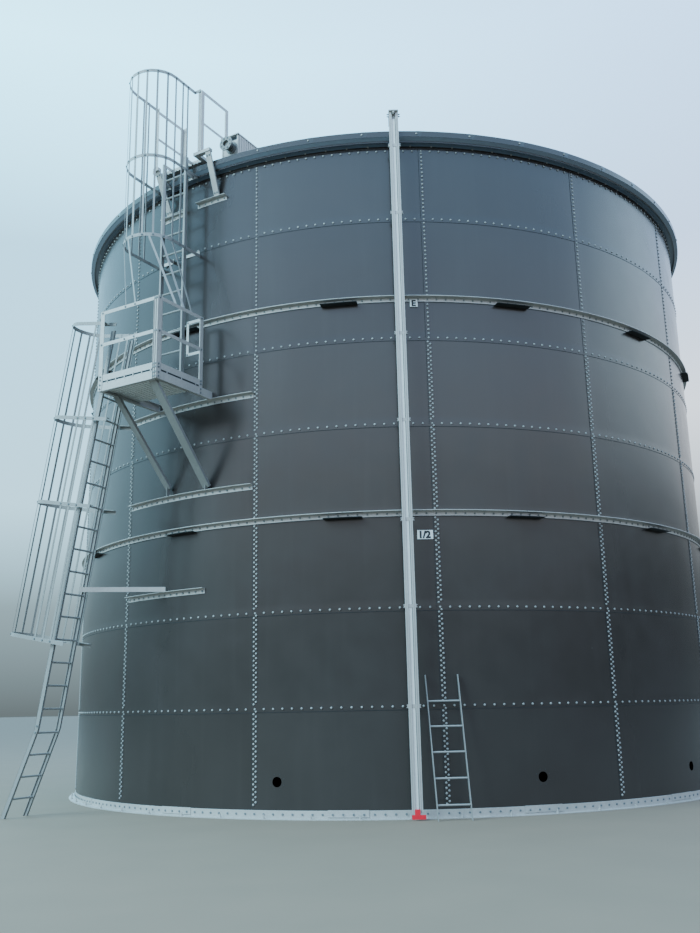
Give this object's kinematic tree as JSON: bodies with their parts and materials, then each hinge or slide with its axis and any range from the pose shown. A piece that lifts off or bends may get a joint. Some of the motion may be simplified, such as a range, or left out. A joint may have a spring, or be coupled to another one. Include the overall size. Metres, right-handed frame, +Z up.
{
  "type": "vertical storage tank",
  "caption": "Round bolted-panel storage tank with a cone roof, caged side ladders, platforms and a float level gauge with a red target.",
  "frame": {"origin": "on the ground at the tank's axis", "axes": "+Z up along the tank's axis, -Y towards the level gauge side, +X to the right as seen from the gauge side"},
  "size_m": [11, 11.2902, 10.41],
  "materials": {
    "shell_coating": "satin",
    "galvanised_steel": "matt",
    "ladder_steel": "satin",
    "target_paint": "gloss"
  },
  "bodies": {
    "tank": {"arm_shell_angle": "galvanised_steel", "base_angle": "galvanised_steel", "brace_shell_angle": "galvanised_steel", "eave_angle": "shell_coating", "eave_bracket_left": "galvanised_steel", "eave_bracket_right": "galvanised_steel", "floor_plate": "shell_coating", "gauge_board": "galvanised_steel", "gauge_cable_pipe": "galvanised_steel", "gauge_head": "galvanised_steel", "ladder_arm": "galvanised_steel", "ladder_bracket_left": "galvanised_steel", "ladder_bracket_right": "galvanised_steel", "landing_angle_left": "galvanised_steel", "landing_angle_right": "galvanised_steel", "landing_deck": "galvanised_steel", "landing_guard_left": "galvanised_steel", "landing_guard_right": "galvanised_steel", "landing_strut_left": "galvanised_steel", "landing_strut_right": "galvanised_steel", "lower_cage": "ladder_steel", "lower_ladder": "ladder_steel", "lower_ladder_foot": "ladder_steel", "lower_stiffener": "galvanised_steel", "platform_brace_left": "galvanised_steel", "platform_brace_right": "galvanised_steel", "platform_deck": "galvanised_steel", "platform_frame": "galvanised_steel", "platform_guard_rail": "galvanised_steel", "platform_shell_angle": "galvanised_steel", "platform_toe_board": "galvanised_steel", "roof_box": "galvanised_steel", "roof_centre_cap": "shell_coating", "roof_inlet_stub": "galvanised_steel", "roof_sheets": "shell_coating", "shell_strip_01": "shell_coating", "shell_strip_02": "shell_coating", "shell_strip_03": "shell_coating", "shell_strip_04": "shell_coating", "shell_strip_05": "shell_coating", "shell_strip_06": "shell_coating", "shell_strip_07": "shell_coating", "shell_strip_08": "shell_coating", "shell_strip_09": "shell_coating", "shell_strip_10": "shell_coating", "shell_strip_11": "shell_coating", "shell_strip_12": "shell_coating", "shell_strip_13": "shell_coating", "shell_strip_14": "shell_coating", "spare_ladder_section": "ladder_steel", "upper_cage": "ladder_steel", "upper_ladder": "ladder_steel", "upper_stiffener": "galvanised_steel"},
    "level_target": {"gauge_target": "target_paint"}
  },
  "joints": [
    {"name": "target_slide", "type": "slide", "parent": "tank", "child": "level_target", "axis": [0, 0, 1], "range_m": [0, 6.4]}
  ]
}
